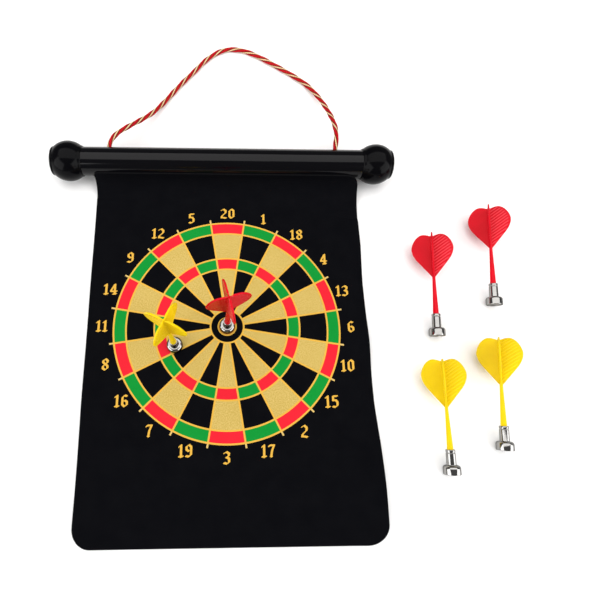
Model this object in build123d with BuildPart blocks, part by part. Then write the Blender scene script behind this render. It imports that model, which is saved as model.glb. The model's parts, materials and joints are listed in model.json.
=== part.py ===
"""Roll-up magnetic dartboard, lying face up, with its hanging cord and six magnetic darts.

Millimetres. The origin is under the bull's-eye, on the sheet's underside, so z = 0 is the surface that
the board lies on. +X points to the board's right, +Y to its top edge and +Z out of its face.
"""

import math
import os

from build123d import *

os.makedirs("parts", exist_ok=True)

# ---- Driving dimensions ----

# Playing sheet: a soft iron-filled core with a printed, flocked face.
SHEET_WIDTH = 300.0
SHEET_CENTRE_X = 1.5  # the target is printed a little to the left of the sheet's middle
SHEET_BOTTOM_Y = -214.5
BOTTOM_CORNER_R = 19.5
CORE_THICKNESS = 1.2
FACE_THICKNESS = 0.4
SHEET_THICKNESS = CORE_THICKNESS + FACE_THICKNESS

# The lower part of the sheet rolls up. Strips stand for that bending.
ROLL_START_Y = -80.0
STRIP_COUNT = 10
STRIP_GAP = 0.3

# Tube along the top edge, and the ball knobs on its ends, which rest on the same surface as the sheet.
TUBE_CENTRE_X = -6.0
TUBE_AXIS_Y = 187.0
TUBE_R = 16.0
TUBE_WALL = 1.6
KNOB_R = 22.5
TUBE_AXIS_Z = KNOB_R
KNOB_CENTRE_OUT = 174.5  # from the tube's middle to a ball's centre
KNOB_MOUTH = -15.3  # along the tube from the ball's centre, outward positive
TUBE_END = -1.5
KNOB_OUTER_FACE = 15.0
KNOB_CAVITY_R = 13.0
CAP_R = 16.2
CAP_THICKNESS = 3.0
CAP_SPIGOT_LENGTH = 5.0
CAP_EDGE_R = 1.2

# The sheet bends up to the tube and is taped onto its front.
TAPE_THICKNESS = 0.3
TAPE_WIDTH = 292.0
LAP_ANGLE = 12.0  # how far the sheet follows the tube above its front
BEND_START_Y = 149.7
CORE_SPLIT_Y = 140.0  # the core is two solids, the flat one and the one with the bend
LAP_CORNER_R = 17.0

# Hanging cord, through two holes in the back of the tube and knotted inside.
CORD_R = 2.8
HOLE_R = 3.2
HOLES_OUT = (-129.0, 128.5)  # from the tube's middle
HOLE_ANGLE = 25.0  # above level, on the back
STUB_END_R = 16.3  # from the tube's axis
PIVOT_R = 19.4
KNOT_R = 5.4
KNOT_CENTRE_R = 7.5

# Dart, measured along its own axis from the magnet's end.
HEAD_R = 8.4
HEAD_LENGTH = 8.6
HEAD_SHOULDER_R = 1.8
MAGNET_R = 7.2
MAGNET_RECESS = 0.4
MAGNET_THICKNESS = 3.0
SLEEVE_R = 4.5
SLEEVE_END = 23.5
SOCKET_R = 3.4
SOCKET_FLOOR = 6.5
STEM_R_LOW = 3.0
STEM_R_HIGH = 1.6
SPINE_R = 1.4
SPINE_POINT_LENGTH = 1.5
FLIGHT_START = 62.0
FLIGHT_WIDEST = 96.0
FLIGHT_HALF_WIDTH = 21.4
DART_LENGTH = 112.0
VANE_THICKNESS = 1.0
VANE_EDGE_END = (15.5, 81.7)  # where a vane's straight edge ends: out from the axis, then along it
VANE_LOBE_OUT = (9.1, 7.5)  # the flat stretch on top of each lobe of the heart, out from the axis
VANE_NOTCH_DEPTH = 2.7  # between the lobes, at the spine
DART_LIFT_GAP = 0.1  # between a dart's head and the sheet it stands on
TABLE_GAP = 0.05

# ---- Helpers ----

sheet_left = SHEET_CENTRE_X - SHEET_WIDTH / 2
lap_r = TUBE_R + TAPE_THICKNESS
bend_r = TUBE_AXIS_Y - lap_r - BEND_START_Y
lap_top_z = TUBE_AXIS_Z + (lap_r + SHEET_THICKNESS) * math.sin(math.radians(LAP_ANGLE))


def write(part, name):
    """Label a finished piece and write its STEP file."""
    part.label = name
    export_step(part, f"parts/{name}.step")


def around_tube(radius, angle):
    """Y and Z of a point at a radius from the tube's axis, its angle measured from +Y up."""
    turn = math.radians(angle)
    return (TUBE_AXIS_Y + radius * math.cos(turn), TUBE_AXIS_Z + radius * math.sin(turn))


def bend_section(low, high, flat_from):
    """Side view of the sheet between two depths above its underside, from the flat to the lap's edge."""
    with BuildSketch() as section:
        with BuildLine():
            under = CenterArc((BEND_START_Y, bend_r), bend_r - low, -90, 90)
            over = CenterArc((BEND_START_Y, bend_r), bend_r - high, -90, 90)
            lap_under = CenterArc((TUBE_AXIS_Y, TUBE_AXIS_Z), lap_r + low, 180, -LAP_ANGLE)
            lap_over = CenterArc((TUBE_AXIS_Y, TUBE_AXIS_Z), lap_r + high, 180, -LAP_ANGLE)
            Line(under @ 1, lap_under @ 0)
            Line(over @ 1, lap_over @ 0)
            Line(lap_under @ 1, lap_over @ 1)
            Polyline(under @ 0, (flat_from, low), (flat_from, high), over @ 0)
        make_face()
    return section.sketch


def lap_outline():
    """Front view of the sheet with the rounded corners of its top edge."""
    below = -10.0
    with BuildSketch() as outline:
        with Locations((SHEET_CENTRE_X, (lap_top_z + below) / 2)):
            front = Rectangle(SHEET_WIDTH, lap_top_z - below)
        fillet(front.vertices().group_by(Axis.Y)[-1], LAP_CORNER_R)
    return outline.sketch


# ---- Playing sheet ----

with BuildPart() as sheet_core:
    with Locations((SHEET_CENTRE_X, (ROLL_START_Y + CORE_SPLIT_Y) / 2, CORE_THICKNESS / 2)):
        Box(SHEET_WIDTH, CORE_SPLIT_Y - ROLL_START_Y, CORE_THICKNESS)
write(sheet_core.part, "sheet_core")

with BuildPart() as sheet_core_top:
    with BuildSketch(Plane.YZ.offset(sheet_left)):
        add(bend_section(0, CORE_THICKNESS, flat_from=CORE_SPLIT_Y))
    extrude(amount=SHEET_WIDTH)
    with BuildSketch(Plane.XZ.offset(-TUBE_AXIS_Y)):
        add(lap_outline())
    extrude(amount=TUBE_AXIS_Y - CORE_SPLIT_Y, mode=Mode.INTERSECT)
write(sheet_core_top.part, "sheet_core_top")

with BuildPart() as sheet_face:
    with BuildSketch(Plane.YZ.offset(sheet_left)):
        add(bend_section(CORE_THICKNESS, SHEET_THICKNESS, flat_from=ROLL_START_Y))
    extrude(amount=SHEET_WIDTH)
    with BuildSketch(Plane.XZ.offset(-TUBE_AXIS_Y)):
        add(lap_outline())
    extrude(amount=TUBE_AXIS_Y - ROLL_START_Y, mode=Mode.INTERSECT)
write(sheet_face.part, "sheet_face")

strip_pitch = (ROLL_START_Y - SHEET_BOTTOM_Y) / STRIP_COUNT
for number in range(1, STRIP_COUNT + 1):
    strip_top = ROLL_START_Y - (number - 1) * strip_pitch - STRIP_GAP
    strip_bottom = ROLL_START_Y - number * strip_pitch
    with BuildPart() as roll_strip:
        with BuildSketch():
            with Locations((SHEET_CENTRE_X, SHEET_BOTTOM_Y / 2)):
                whole = Rectangle(SHEET_WIDTH, -SHEET_BOTTOM_Y)
            fillet(whole.vertices().group_by(Axis.Y)[0], BOTTOM_CORNER_R)
            with Locations((SHEET_CENTRE_X, (strip_top + strip_bottom) / 2)):
                Rectangle(SHEET_WIDTH, strip_top - strip_bottom, mode=Mode.INTERSECT)
        extrude(amount=SHEET_THICKNESS)
    write(roll_strip.part, f"roll_strip_{number:02d}")

with BuildPart() as lap_tape:
    with BuildSketch(Plane.YZ.offset(SHEET_CENTRE_X - TAPE_WIDTH / 2)):
        with BuildLine():
            tape_inside = CenterArc((TUBE_AXIS_Y, TUBE_AXIS_Z), TUBE_R, 180, -LAP_ANGLE)
            tape_outside = CenterArc((TUBE_AXIS_Y, TUBE_AXIS_Z), lap_r, 180, -LAP_ANGLE)
            Line(tape_inside @ 0, tape_outside @ 0)
            Line(tape_inside @ 1, tape_outside @ 1)
        make_face()
    extrude(amount=TAPE_WIDTH)
write(lap_tape.part, "lap_tape")

# ---- Tube and knobs ----

tube_half_length = KNOB_CENTRE_OUT + TUBE_END
hole_plane = Plane(
    origin=(TUBE_CENTRE_X, TUBE_AXIS_Y, TUBE_AXIS_Z),
    x_dir=(1, 0, 0),
    z_dir=(0, math.cos(math.radians(HOLE_ANGLE)), math.sin(math.radians(HOLE_ANGLE))),
)

with BuildPart() as top_tube:
    with BuildSketch(Plane.YZ.offset(TUBE_CENTRE_X)):
        with Locations((TUBE_AXIS_Y, TUBE_AXIS_Z)):
            Circle(TUBE_R)
            Circle(TUBE_R - TUBE_WALL, mode=Mode.SUBTRACT)
    extrude(amount=tube_half_length, both=True)
    with BuildSketch(hole_plane):
        with Locations(*[(hole_out, 0) for hole_out in HOLES_OUT]):
            Circle(HOLE_R)
    extrude(amount=2 * TUBE_R, mode=Mode.SUBTRACT)
write(top_tube.part, "top_tube")


def end_plane(side):
    """Plane at a ball knob's centre whose X runs outward along the tube. side is -1 left, 1 right."""
    centre = (TUBE_CENTRE_X + side * KNOB_CENTRE_OUT, TUBE_AXIS_Y, TUBE_AXIS_Z)
    return Plane(origin=centre, x_dir=(side, 0, 0), z_dir=(0, -side, 0))


def ball_radius_at(out):
    """Radius of the ball at a distance along the tube from its centre."""
    return math.sqrt(KNOB_R**2 - out**2)


for side, side_name in ((-1, "left"), (1, "right")):
    axis = Axis(end_plane(side).origin, (side, 0, 0))

    with BuildPart() as knob:
        with BuildSketch(end_plane(side)):
            with BuildLine():
                outside = ThreePointArc(
                    (KNOB_MOUTH, ball_radius_at(KNOB_MOUTH)),
                    (0, KNOB_R),
                    (KNOB_OUTER_FACE, ball_radius_at(KNOB_OUTER_FACE)),
                )
                Polyline(
                    outside @ 1,
                    (KNOB_OUTER_FACE, KNOB_CAVITY_R),
                    (TUBE_END, KNOB_CAVITY_R),
                    (TUBE_END, TUBE_R),
                    (KNOB_MOUTH, TUBE_R),
                    outside @ 0,
                )
            make_face()
        revolve(axis=axis)
    write(knob.part, f"ball_knob_{side_name}")

    with BuildPart() as cap:
        with BuildSketch(end_plane(side)):
            with BuildLine():
                Polyline(
                    (KNOB_OUTER_FACE - CAP_SPIGOT_LENGTH, 0),
                    (KNOB_OUTER_FACE - CAP_SPIGOT_LENGTH, KNOB_CAVITY_R),
                    (KNOB_OUTER_FACE, KNOB_CAVITY_R),
                    (KNOB_OUTER_FACE, CAP_R),
                    (KNOB_OUTER_FACE + CAP_THICKNESS, CAP_R),
                    (KNOB_OUTER_FACE + CAP_THICKNESS, 0),
                    close=True,
                )
            make_face()
        revolve(axis=axis)
        outer_face = cap.faces().sort_by(Axis((0, 0, 0), (side, 0, 0)))[-1]
        fillet(outer_face.edges(), CAP_EDGE_R)
    write(cap.part, f"knob_cap_{side_name}")

# ---- Hanging cord ----

# The corners of the cord's route, from the left hole to the right one. It lies on the table behind the
# tube, rises to each hole and enters it level. Both ends share one height and distance, so the loop can
# swing about the line through them.
pivot_y, pivot_z = around_tube(PIVOT_R, HOLE_ANGLE)
left_hole_x, right_hole_x = (TUBE_CENTRE_X + hole_out for hole_out in HOLES_OUT)
cord_rest_z = CORD_R + TABLE_GAP
cord_route = [
    (left_hole_x, pivot_y, pivot_z),
    (-128.5, 216.5, 32.0),
    (-116.0, 230.5, 27.0),
    (-103.0, 248.0, 16.0),
    (-89.0, 267.0, 6.5),
    (-74.0, 290.0, cord_rest_z),
    (-59.5, 310.5, cord_rest_z),
    (-43.0, 330.0, cord_rest_z),
    (-26.5, 351.5, cord_rest_z),
    (-5.5, 366.5, cord_rest_z),
    (18.5, 366.0, cord_rest_z),
    (40.5, 355.0, cord_rest_z),
    (61.0, 341.5, cord_rest_z),
    (81.5, 327.5, cord_rest_z),
    (100.5, 312.5, cord_rest_z),
    (113.5, 290.5, 6.5),
    (120.5, 265.5, 16.0),
    (124.5, 239.5, 27.0),
    (125.0, 218.5, 32.0),
    (right_hole_x, pivot_y, pivot_z),
]
ARC_SHARE = 0.45  # of the shorter run beside a corner

radii = []
for before, corner, after in zip(cord_route, cord_route[1:], cord_route[2:]):
    run_in = Vector(corner) - Vector(before)
    run_out = Vector(after) - Vector(corner)
    half_turn = math.radians(run_in.get_angle(run_out)) / 2
    radii.append(ARC_SHARE * min(run_in.length, run_out.length) / math.tan(half_turn))

with BuildPart() as hanging_cord:
    with BuildLine() as cord_path:
        FilletPolyline(*cord_route, radius=radii)
    first_run = Vector(cord_route[1]) - Vector(cord_route[0])
    with BuildSketch(Plane(origin=cord_route[0], z_dir=first_run)):
        Circle(CORD_R)
    sweep(path=cord_path.wires()[0])
    cord_tube_volume = hanging_cord.part.volume
    with Locations(cord_route[0], cord_route[-1]):
        Sphere(CORD_R)
write(hanging_cord.part, "hanging_cord")
cord_length = cord_path.wires()[0].length
print("cord arc radii", [round(radius, 1) for radius in radii])
print("cord length", round(cord_length, 1))
print("cord volume share", round(cord_tube_volume / (math.pi * CORD_R**2 * cord_length), 4))

for hole_out, side_name in zip(HOLES_OUT, ("left", "right")):
    with BuildPart() as cord_end:
        with BuildSketch(hole_plane.offset(KNOT_CENTRE_R)):
            with Locations((hole_out, 0)):
                Circle(CORD_R)
        extrude(amount=STUB_END_R - KNOT_CENTRE_R)
        with Locations(hole_plane.offset(KNOT_CENTRE_R)):
            with Locations((hole_out, 0)):
                Sphere(KNOT_R)
    write(cord_end.part, f"cord_end_{side_name}")

# ---- Darts ----

# One dart, standing on its magnet with its axis on +Z.
with BuildPart() as dart_head:
    with BuildSketch(Plane.XZ):
        with BuildLine():
            Polyline(
                (MAGNET_R, 0),
                (HEAD_R, 0),
                (HEAD_R, HEAD_LENGTH),
                (SLEEVE_R, HEAD_LENGTH),
                (SLEEVE_R, SLEEVE_END),
                (SOCKET_R, SLEEVE_END),
                (SOCKET_R, SOCKET_FLOOR),
                (0, SOCKET_FLOOR),
                (0, MAGNET_RECESS + MAGNET_THICKNESS),
                (MAGNET_R, MAGNET_RECESS + MAGNET_THICKNESS),
                close=True,
            )
        make_face()
    revolve(axis=Axis.Z)
    head_rims = dart_head.edges().filter_by(GeomType.CIRCLE).group_by(SortBy.RADIUS)[-1]
    fillet(head_rims.sort_by(Axis.Z)[-1], HEAD_SHOULDER_R)

with BuildPart() as dart_magnet:
    with BuildSketch(Plane.XY.offset(MAGNET_RECESS)):
        Circle(MAGNET_R)
    extrude(amount=MAGNET_THICKNESS)

with BuildPart() as dart_flight:
    with BuildSketch(Plane.XZ):
        with BuildLine():
            Polyline(
                (0, SOCKET_FLOOR),
                (SOCKET_R, SOCKET_FLOOR),
                (SOCKET_R, SLEEVE_END),
                (STEM_R_LOW, SLEEVE_END),
                (STEM_R_HIGH, FLIGHT_START),
                (SPINE_R, DART_LENGTH - SPINE_POINT_LENGTH),
                (0, DART_LENGTH),
                close=True,
            )
        make_face()
    revolve(axis=Axis.Z)
    for quarter in range(4):
        turn = math.radians(90 * quarter)
        vane_plane = Plane(
            origin=(0, 0, 0),
            x_dir=(math.cos(turn), math.sin(turn), 0),
            z_dir=(math.sin(turn), -math.cos(turn), 0),
        )
        with BuildSketch(vane_plane):
            with BuildLine():
                edge = Line((0, FLIGHT_START), VANE_EDGE_END)
                side_curve = Spline(
                    edge @ 1,
                    (FLIGHT_HALF_WIDTH, FLIGHT_WIDEST),
                    (VANE_LOBE_OUT[0], DART_LENGTH),
                    tangents=[edge % 1, (-1, 0)],
                )
                Polyline(
                    side_curve @ 1,
                    (VANE_LOBE_OUT[1], DART_LENGTH),
                    (0, DART_LENGTH - VANE_NOTCH_DEPTH),
                    edge @ 0,
                )
            make_face()
        extrude(amount=VANE_THICKNESS / 2, both=True)

# Two darts stand on the sheet: the place of the magnet and how far the vanes are turned.
standing_darts = {
    "red_dart_1": (0.0, 0.0, 15.0),
    "yellow_dart_1": (-55.0, -21.0, 64.0),
}
# Four lie beside the board: the place of the middle, the way the tail points, from +X, and how far the
# upper vane leans over to -X.
lying_darts = {
    "red_dart_2": (223.5, 45.0, 89.1, 23.0),
    "red_dart_3": (291.5, 79.5, 87.9, 28.5),
    "yellow_dart_2": (219.5, -93.0, 90.9, 23.5),
    "yellow_dart_3": (278.5, -70.5, 87.7, 28.5),
}

dart_places = {}
for name, (x, y, vane_turn) in standing_darts.items():
    dart_places[name] = Location((x, y, SHEET_THICKNESS + DART_LIFT_GAP), (0, 0, vane_turn))
# A lying dart rests on the rim of its head and on the edge of its lowest vane.
for name, (x, y, heading, lean) in lying_darts.items():
    heading, lean = math.radians(heading), math.radians(lean)
    rise = (FLIGHT_HALF_WIDTH * math.cos(lean) - HEAD_R) / FLIGHT_WIDEST
    along = Vector(math.cos(heading), math.sin(heading), rise).normalized()
    level = along.cross(Vector(0, 0, 1)).normalized()
    upper = level.cross(along)
    vane_way = level * math.cos(lean) + upper * math.sin(lean)
    magnet_end = Vector(x, y, 0) - Vector(along.X, along.Y, 0) * DART_LENGTH / 2
    place = Plane(origin=magnet_end, x_dir=vane_way, z_dir=along).location
    lowest = min(piece.part.moved(place).bounding_box().min.Z for piece in (dart_head, dart_flight))
    dart_places[name] = Location((0, 0, TABLE_GAP - lowest)) * place

for name, place in dart_places.items():
    write(dart_head.part.moved(place), f"{name}_head")
    write(dart_magnet.part.moved(place), f"{name}_magnet")
    write(dart_flight.part.moved(place), f"{name}_flight")
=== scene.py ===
"""Looks of the roll-up magnetic dartboard: printed sheet, tube, ball knobs, hanging cord and six darts.

Metres, in the CAD model's frame: the origin is under the bull's-eye, +Y runs up to the tube and +Z out
of the board's face. Values in millimetres are multiplied by MM.
"""

import json
import math

import bpy
import numpy as np
from mathutils import Matrix, Vector, geometry


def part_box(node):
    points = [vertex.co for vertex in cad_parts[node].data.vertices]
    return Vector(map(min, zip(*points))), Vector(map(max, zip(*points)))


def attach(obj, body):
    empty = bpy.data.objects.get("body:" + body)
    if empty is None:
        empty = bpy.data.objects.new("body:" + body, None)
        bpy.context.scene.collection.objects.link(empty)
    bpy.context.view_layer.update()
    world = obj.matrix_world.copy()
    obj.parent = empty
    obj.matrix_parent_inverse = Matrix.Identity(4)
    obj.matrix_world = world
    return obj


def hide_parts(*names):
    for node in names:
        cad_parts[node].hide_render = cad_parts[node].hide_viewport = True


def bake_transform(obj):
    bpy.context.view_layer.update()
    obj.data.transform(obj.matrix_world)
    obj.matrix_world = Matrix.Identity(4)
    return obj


MM = 0.001

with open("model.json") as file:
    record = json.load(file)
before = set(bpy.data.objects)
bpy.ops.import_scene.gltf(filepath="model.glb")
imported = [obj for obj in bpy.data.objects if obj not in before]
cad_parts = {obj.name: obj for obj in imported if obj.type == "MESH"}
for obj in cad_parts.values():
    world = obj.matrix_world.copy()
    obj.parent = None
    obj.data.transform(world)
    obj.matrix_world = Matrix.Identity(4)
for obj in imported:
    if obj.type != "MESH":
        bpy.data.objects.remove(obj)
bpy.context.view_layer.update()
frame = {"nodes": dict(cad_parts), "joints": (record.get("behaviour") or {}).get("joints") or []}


# ---- Camera, floor and light ----

CAMERA_PLACE = (-7.0 * MM, -120.9 * MM, 511.9 * MM)
CAMERA_TURN_DEG = (17.127, -1.104, 0.066)
LENS_MM = 29.29
LENS_SHIFT = (0.1172, -0.0099)
FLOOR_DROP = 0.1 * MM  # that the floor is below the sheet's underside


def make_camera():
    camera = bpy.data.objects.new("camera", bpy.data.cameras.new("camera"))
    camera.location = CAMERA_PLACE
    camera.rotation_euler = [math.radians(angle) for angle in CAMERA_TURN_DEG]
    camera.data.sensor_width = 36.0
    camera.data.lens = LENS_MM
    camera.data.shift_x, camera.data.shift_y = LENS_SHIFT
    camera.data.clip_start = 0.01
    bpy.context.scene.collection.objects.link(camera)
    bpy.context.scene.camera = camera


def make_light(name, place, target, size, radiance, colour):
    """A soft rectangular light at a place, turned to a target."""
    data = bpy.data.lights.new(name, "AREA")
    data.shape = "RECTANGLE"
    data.size, data.size_y = size
    data.energy = radiance * math.pi * size[0] * size[1]
    data.color = colour
    light = bpy.data.objects.new(name, data)
    light.location = place
    light.rotation_euler = (Vector(target) - Vector(place)).to_track_quat("-Z", "Y").to_euler()
    light.visible_camera = False
    bpy.context.scene.collection.objects.link(light)


def make_world(strength):
    """Even soft light from all round."""
    world = bpy.data.worlds.new("studio")
    world.use_nodes = True
    background = world.node_tree.nodes["Background"].inputs
    background["Color"].default_value = (1, 1, 1, 1)
    background["Strength"].default_value = strength
    bpy.context.scene.world = world


# ---- Material helpers ----


def node(tree, kind, inputs=None, **settings):
    """Adds a node, sets its settings, and sets or links its inputs."""
    made = tree.nodes.new(kind)
    for key, value in settings.items():
        setattr(made, key, value)
    for key, value in (inputs or {}).items():
        if isinstance(value, bpy.types.NodeSocket):
            tree.links.new(value, made.inputs[key])
        else:
            made.inputs[key].default_value = value
    return made


def new_material(name, sockets):
    """A material with a Principled shader, and the shader."""
    material = bpy.data.materials.new(name)
    material.use_nodes = True
    shader = material.node_tree.nodes["Principled BSDF"]
    for key, value in sockets.items():
        shader.inputs[key].default_value = value
    return material, material.node_tree, shader


def coordinates(tree, uv_map, stretch=(1, 1, 1)):
    """Texture coordinates in metres: a UV map's where one is named, and the object's own otherwise."""
    if uv_map:
        source = node(tree, "ShaderNodeUVMap", uv_map=uv_map).outputs["UV"]
    else:
        source = node(tree, "ShaderNodeTexCoord").outputs["Object"]
    return node(tree, "ShaderNodeMapping", {"Vector": source, "Scale": stretch}).outputs["Vector"]


def noise(tree, vector, size, detail=3.0, roughness=0.55):
    """Noise from 0 to 1 whose features are about size metres across."""
    inputs = {"Vector": vector, "Scale": 1 / size, "Detail": detail, "Roughness": roughness}
    return node(tree, "ShaderNodeTexNoise", inputs).outputs["Fac"]


def remap(tree, value, low, high, from_low=0.3, from_high=0.7):
    """A value spread over another range, held at its ends."""
    inputs = {"Value": value, "From Min": from_low, "From Max": from_high, "To Min": low, "To Max": high}
    return node(tree, "ShaderNodeMapRange", inputs, clamp=True).outputs["Result"]


def mix_colours(tree, share, first, second):
    """The colour between two, each an RGB triple or a socket."""
    mixer = node(tree, "ShaderNodeMix", data_type="RGBA")
    tree.links.new(share, mixer.inputs["Factor"])
    for socket, colour in ((mixer.inputs[6], first), (mixer.inputs[7], second)):
        if isinstance(colour, bpy.types.NodeSocket):
            tree.links.new(colour, socket)
        else:
            socket.default_value = (*colour, 1)
    return mixer.outputs[2]


def bump(tree, shader, height, depth, strength=1.0):
    """Raises the shader's surface by depth metres where height is 1."""
    made = node(tree, "ShaderNodeBump", {"Height": height, "Distance": depth, "Strength": strength})
    tree.links.new(made.outputs["Normal"], shader.inputs["Normal"])


def grained(name, colour, other, gloss, grain, depth, rough, uv_map=None, stretch=(1, 1, 1)):
    """A material whose colour and roughness vary with a fine grain and with broad, faint patches."""
    material, tree, shader = new_material(name, {"Specular IOR Level": gloss})
    place = coordinates(tree, uv_map, stretch)
    fine = noise(tree, place, grain)
    broad = noise(tree, place, 40 * grain, detail=2.0)
    speckled = mix_colours(tree, remap(tree, fine, 0, 1), colour, other)
    toned = mix_colours(tree, remap(tree, broad, 0, 0.25), speckled, colour)
    tree.links.new(toned, shader.inputs["Base Color"])
    tree.links.new(remap(tree, broad, *rough), shader.inputs["Roughness"])
    bump(tree, shader, fine, depth)
    return material


# ---- Materials ----

FLAT_MAP = "flat"  # the sheet's UV map: metres across and up the flat sheet
YARN_MAP = "yarn"  # the cord's UV map: metres along a ply and round it
RIB_MAP = "rib"  # the flights' UV map: how far up a rib a point is, from 0 to 1


def ink(name, colour, other, grain=0.5 * MM):
    """Printed colour on the sheet's napped face."""
    return grained(name, colour, other, 0.06, grain, 0.03 * MM, (0.72, 0.84), FLAT_MAP)


def yarn(name, colour, shadow):
    """Fine fibres that wind round a ply of the cord."""
    material, tree, shader = new_material(name, {"Specular IOR Level": 0.08})
    place = coordinates(tree, YARN_MAP)
    inputs = {"Vector": place, "Scale": 1 / (4.2 * MM), "Distortion": 0.8, "Detail": 2.0}
    fibres = node(tree, "ShaderNodeTexWave", inputs, bands_direction="DIAGONAL").outputs["Fac"]
    fluff = noise(tree, place, 0.35 * MM)
    both = node(tree, "ShaderNodeMath", {0: fibres, 1: fluff}, operation="MULTIPLY").outputs["Value"]
    shade = mix_colours(tree, remap(tree, both, 0, 1, 0.05, 0.5), shadow, colour)
    tree.links.new(shade, shader.inputs["Base Color"])
    tree.links.new(remap(tree, fluff, 0.6, 0.85), shader.inputs["Roughness"])
    bump(tree, shader, both, 0.18 * MM)
    return material


def plated(name, colour, rough, grain, stretch):
    """Plated metal, with fine marks along one direction."""
    material, tree, shader = new_material(name, {"Metallic": 1.0, "Specular Tint": (0.3, 0.3, 0.3, 1)})
    place = coordinates(tree, None, stretch)
    marks = noise(tree, place, grain)
    broad = noise(tree, place, 12 * grain, detail=2.0)
    darker = [0.86 * channel for channel in colour]
    tree.links.new(mix_colours(tree, remap(tree, broad, 0, 1), colour, darker), shader.inputs["Base Color"])
    tree.links.new(remap(tree, marks, *rough), shader.inputs["Roughness"])
    bump(tree, shader, marks, 0.01 * MM)
    return material


def moulded(name, colour, deeper, rough, gloss, painted_crest_highlight=None):
    """Glossy moulded plastic: faint flow marks, an uneven surface, and a painted highlight on the ribs'
    crests, a lighter colour mixed in by how far up a rib a point is.
    """
    material, tree, shader = new_material(name, {"Specular IOR Level": gloss})
    place = coordinates(tree, None)
    flow = noise(tree, place, 14 * MM, detail=2.0)
    fine = noise(tree, place, 0.6 * MM)
    shade = mix_colours(tree, remap(tree, flow, 0, 1), colour, deeper)
    # Painted highlight: the ribs' crests are lightened as if they caught the light.
    if painted_crest_highlight:
        rib_height = node(tree, "ShaderNodeUVMap", uv_map=RIB_MAP).outputs["UV"]
        share = node(tree, "ShaderNodeSeparateXYZ", {"Vector": rib_height}).outputs["X"]
        shade = mix_colours(tree, share, shade, painted_crest_highlight)
    tree.links.new(shade, shader.inputs["Base Color"])
    tree.links.new(remap(tree, fine, *rough), shader.inputs["Roughness"])
    bump(tree, shader, fine, 0.008 * MM)
    return material


flock = grained(
    "black_flock", (0.0012, 0.0013, 0.0021), (0.0034, 0.0035, 0.0048), gloss=0.03, grain=0.45 * MM,
    depth=0.06 * MM, rough=(0.75, 0.9), uv_map=FLAT_MAP,
)
gold_ink = ink("gold_ink", (0.40, 0.275, 0.042), (0.64, 0.475, 0.17), grain=1.1 * MM)
red_ink = ink("red_ink", (0.65, 0.012, 0.026), (0.71, 0.020, 0.034))
green_ink = ink("green_ink", (0.002, 0.215, 0.024), (0.007, 0.265, 0.036))
line_ink = ink("line_ink", (0.62, 0.34, 0.038), (0.70, 0.42, 0.075))
tick_ink = ink("tick_ink", (0.56, 0.38, 0.11), (0.64, 0.46, 0.17))
sheet_back = grained(
    "sheet_back", (0.0030, 0.0030, 0.0036), (0.0070, 0.0070, 0.0078), gloss=0.06, grain=0.8 * MM,
    depth=0.05 * MM, rough=(0.45, 0.6), uv_map=FLAT_MAP,
)
tape_film = grained(
    "tape_film", (0.0020, 0.0020, 0.0026), (0.0040, 0.0040, 0.0048), gloss=0.04, grain=1.5 * MM,
    depth=0.02 * MM, rough=(0.6, 0.75),
)
tube_plastic = grained(
    "tube_plastic", (0.0016, 0.0016, 0.0026), (0.0026, 0.0024, 0.0030), gloss=0.165, grain=12 * MM,
    depth=0.12 * MM, rough=(0.08, 0.14), stretch=(0.03, 1, 1),
)
knob_plastic = moulded(
    "knob_plastic", (0.0014, 0.0014, 0.0022), (0.0024, 0.0023, 0.0028), rough=(0.12, 0.2), gloss=0.055
)
red_yarn = yarn("red_yarn", (0.60, 0.007, 0.014), (0.30, 0.003, 0.006))
cream_yarn = yarn("cream_yarn", (0.92, 0.66, 0.38), (0.70, 0.44, 0.22))
# Painted shade: the colour of the dark plies that stand for the shade beside the cream plies.
painted_shade_yarn = yarn("painted_shade_yarn", (0.12, 0.010, 0.003), (0.05, 0.004, 0.002))
nickel = plated("bright_nickel", (0.34, 0.335, 0.325), (0.05, 0.12), 0.5 * MM, (1, 1, 0.15))
magnet_metal = plated("magnet_metal", (0.52, 0.50, 0.47), (0.28, 0.42), 0.6 * MM, (1, 1, 1))
# The last colour of each flight plastic is a painted highlight on the ribs' crests.
red_plastic = moulded(
    "red_plastic", (0.62, 0.0020, 0.013), (0.56, 0.0016, 0.010), rough=(0.22, 0.3), gloss=0.09,
    painted_crest_highlight=(0.76, 0.060, 0.080),
)
yellow_plastic = moulded(
    "yellow_plastic", (0.79, 0.57, 0.0035), (0.74, 0.52, 0.003), rough=(0.22, 0.3), gloss=0.1,
    painted_crest_highlight=(0.83, 0.61, 0.010),
)
floor_paper = grained(
    "floor_paper", (0.93, 0.93, 0.93), (0.91, 0.91, 0.91), gloss=0.5, grain=2.0 * MM, depth=0.0,
    rough=(0.8, 0.9),
)


# ---- Mesh helpers ----

SHARP_DEG = 32.0  # faces that meet at more than this have a sharp edge
YARN_SHARP_DEG = 60.0


def new_object(name, points, faces, materials, face_slots=None, sharp_deg=SHARP_DEG):
    """A smooth mesh object whose edges are sharp where its faces meet at over sharp_deg."""
    mesh = bpy.data.meshes.new(name)
    mesh.from_pydata([tuple(point) for point in points], [], faces)
    for material in materials:
        mesh.materials.append(material)
    if face_slots is not None:
        mesh.polygons.foreach_set("material_index", face_slots)
    mesh.shade_smooth()
    mesh.set_sharp_from_angle(angle=math.radians(sharp_deg))
    made = bpy.data.objects.new(name, mesh)
    bpy.context.scene.collection.objects.link(made)
    return made


def paint_map(made, map_name, coordinates_of):
    """Gives the object's mesh a UV map, from each vertex's pair of coordinates."""
    layer = made.data.uv_layers.new(name=map_name)
    corners = np.zeros(len(made.data.loops), int)
    made.data.loops.foreach_get("vertex_index", corners)
    layer.data.foreach_set("uv", np.asarray(coordinates_of, np.float32)[corners].ravel())


def joined(*parts):
    """Several (points, faces) as one."""
    points, faces = [], []
    for part_points, part_faces in parts:
        faces += [[len(points) + i for i in face] for face in part_faces]
        points += [tuple(point) for point in part_points]
    return points, faces


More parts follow.
